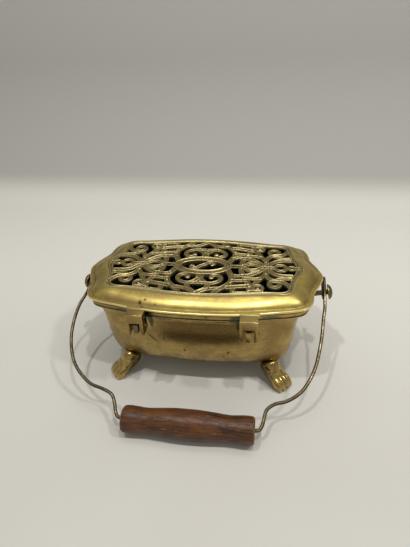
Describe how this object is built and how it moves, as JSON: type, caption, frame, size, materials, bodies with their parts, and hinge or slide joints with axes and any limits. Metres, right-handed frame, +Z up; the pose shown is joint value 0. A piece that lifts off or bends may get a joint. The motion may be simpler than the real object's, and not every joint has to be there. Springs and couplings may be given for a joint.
{
  "type": "hand warmer",
  "caption": "Oblong footed brass box for embers with a hinged pierced lid, an inner pan and a swinging wire bail with a turned wooden grip.",
  "frame": {"origin": "centre of the box of the whole part in X and Y, on the floor under the feet", "axes": "+X along the tub, +Y away from the lid hinges, +Z up; the bail lies towards -Y"},
  "size_m": [0.2346, 0.1854, 0.0922],
  "materials": {
    "tub_brass": "worn satin with brown patina",
    "lid_brass": "polished by handling",
    "panel_brass": "cast and chased, dark in the recesses",
    "foot_brass": "cast, rubbed bright on top",
    "pan_brass": "darkened by heat",
    "dark_brass": "dull and tarnished",
    "iron": "dull, filed",
    "wire": "drawn wire, tarnished",
    "wood": "stained hardwood, worn"
  },
  "bodies": {
    "box": {"tub": "tub_brass", "hinge_lug_left": "iron", "hinge_lug_right": "tub_brass", "stud_boss_left": "dark_brass", "stud_boss_right": "dark_brass", "ember_pan": "pan_brass", "foot_front_left": "foot_brass", "foot_front_right": "foot_brass", "foot_back_left": "foot_brass", "foot_back_right": "foot_brass", "foot_rivet_front_left": "dark_brass", "foot_rivet_front_right": "dark_brass", "foot_rivet_back_left": "dark_brass", "foot_rivet_back_right": "dark_brass", "stud_left": "dark_brass", "stud_right": "dark_brass"},
    "lid": {"lid_frame": "lid_brass", "lid_panel": "panel_brass", "hinge_pin_left": "iron", "hinge_pin_right": "iron"},
    "bail": {"bail_wire": "wire"},
    "grip": {"wood_grip": "wood"}
  },
  "joints": [
    {"name": "lid_hinge", "type": "hinge", "parent": "box", "child": "lid", "pos_m": [0.00034, -0.03305, 0.0695], "axis": [1, 0, 0], "range_deg": [0, 100]},
    {"name": "bail_swing", "type": "hinge", "parent": "box", "child": "bail", "pos_m": [0.00034, 0.02925, 0.0682], "axis": [-1, 0, 0], "range_deg": [0, 233]},
    {"name": "grip_spin", "type": "hinge", "parent": "bail", "child": "grip", "pos_m": [0.00134, -0.08095, 0.0118], "axis": [1, 0, 0], "continuous": true}
  ]
}
